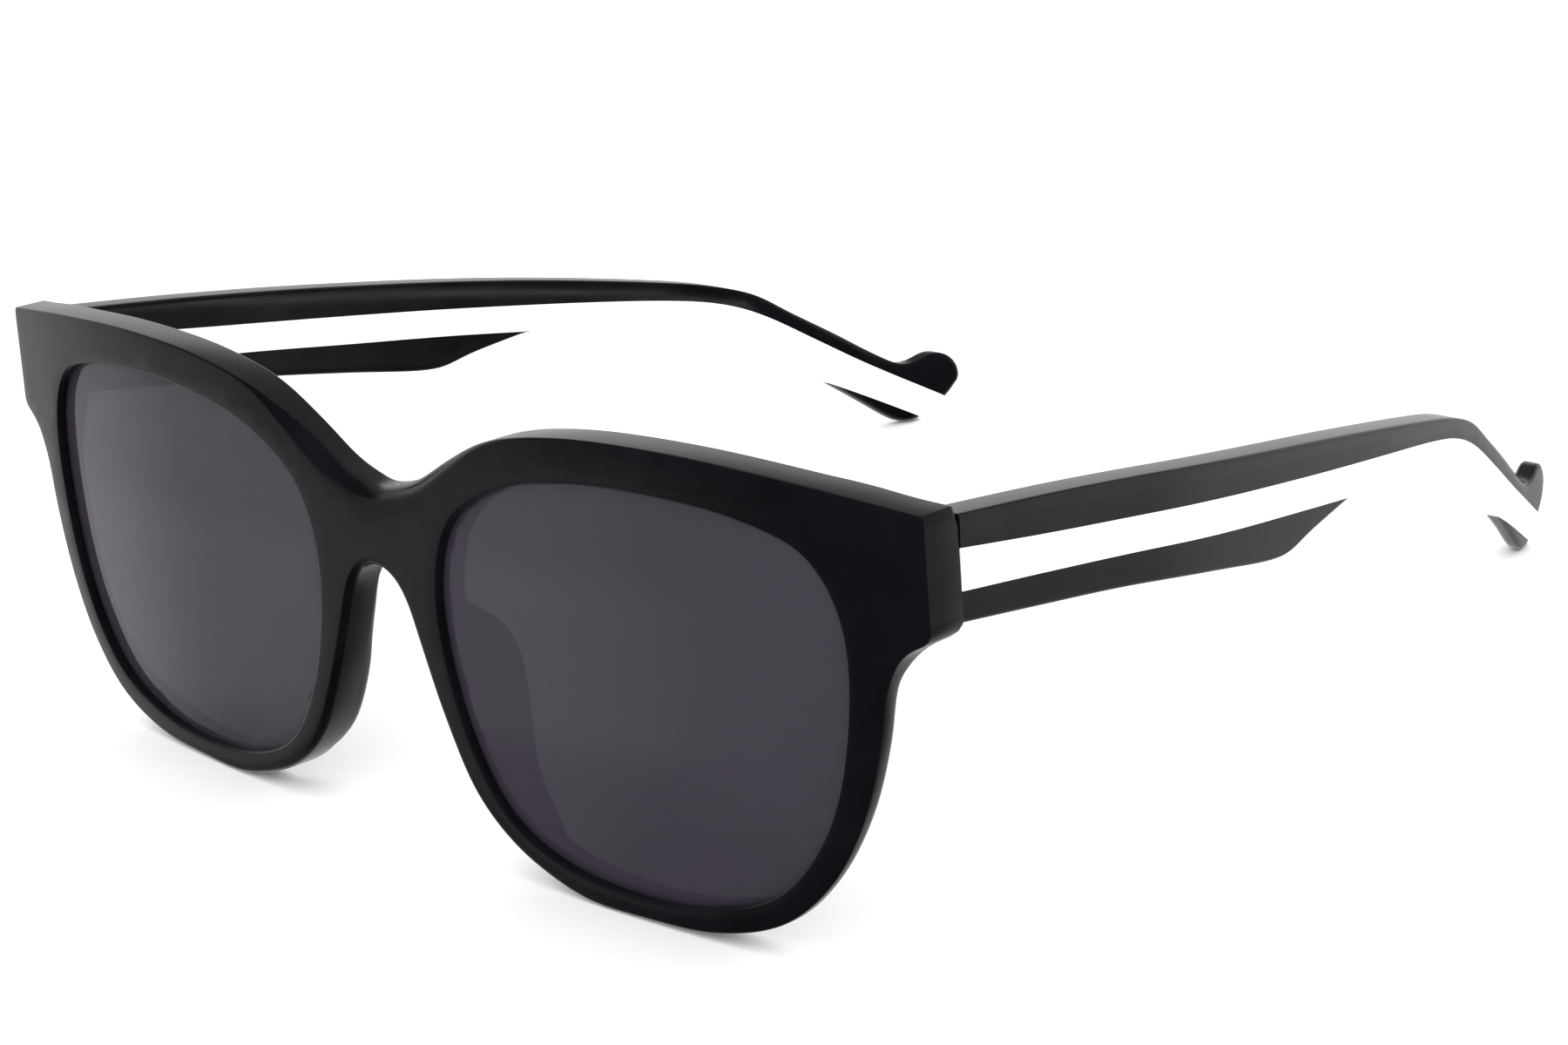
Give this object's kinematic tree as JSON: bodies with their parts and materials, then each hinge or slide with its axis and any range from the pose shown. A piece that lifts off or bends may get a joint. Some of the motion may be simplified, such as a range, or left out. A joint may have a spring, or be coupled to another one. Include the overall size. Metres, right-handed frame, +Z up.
{
  "type": "cat eye sunglasses",
  "caption": "Acetate sunglasses with a soft cat-eye front, smoke lenses and folding temples laminated black over white over black.",
  "frame": {"origin": "on the surface that the open sunglasses stand on, under the middle of their box", "axes": "+Z up, +X towards the wearer's left temple, -Y the way the front faces"},
  "size_m": [0.146, 0.1388, 0.0484],
  "materials": {
    "black_acetate": "polished",
    "white_acetate": "polished",
    "smoke_lens": "polished smoke tint",
    "hinge_steel": "satin",
    "core_wire": "drawn wire"
  },
  "bodies": {
    "front": {"front_frame": "black_acetate", "left_lens": "smoke_lens", "right_lens": "smoke_lens", "left_nose_pad": "black_acetate", "right_nose_pad": "black_acetate", "left_front_hinge_leaf": "hinge_steel", "right_front_hinge_leaf": "hinge_steel", "left_hinge_screw": "hinge_steel", "right_hinge_screw": "hinge_steel"},
    "left_temple": {"left_temple_upper_layer": "black_acetate", "left_temple_middle_layer": "white_acetate", "left_temple_lower_layer": "black_acetate", "left_temple_tip_inlay": "black_acetate", "left_temple_core_wire": "core_wire", "left_temple_hinge_leaf": "hinge_steel"},
    "right_temple": {"right_temple_upper_layer": "black_acetate", "right_temple_middle_layer": "white_acetate", "right_temple_lower_layer": "black_acetate", "right_temple_tip_inlay": "black_acetate", "right_temple_core_wire": "core_wire", "right_temple_hinge_leaf": "hinge_steel"}
  },
  "joints": [
    {"name": "left_temple_fold", "type": "hinge", "parent": "front", "child": "left_temple", "pos_m": [0.0672, -0.05776, 0.03932], "axis": [0, 0.0489, 0.9988], "range_deg": [0, 80]},
    {"name": "right_temple_fold", "type": "hinge", "parent": "front", "child": "right_temple", "pos_m": [-0.0672, -0.05776, 0.03932], "axis": [0, -0.0489, -0.9988], "range_deg": [0, 74]}
  ]
}
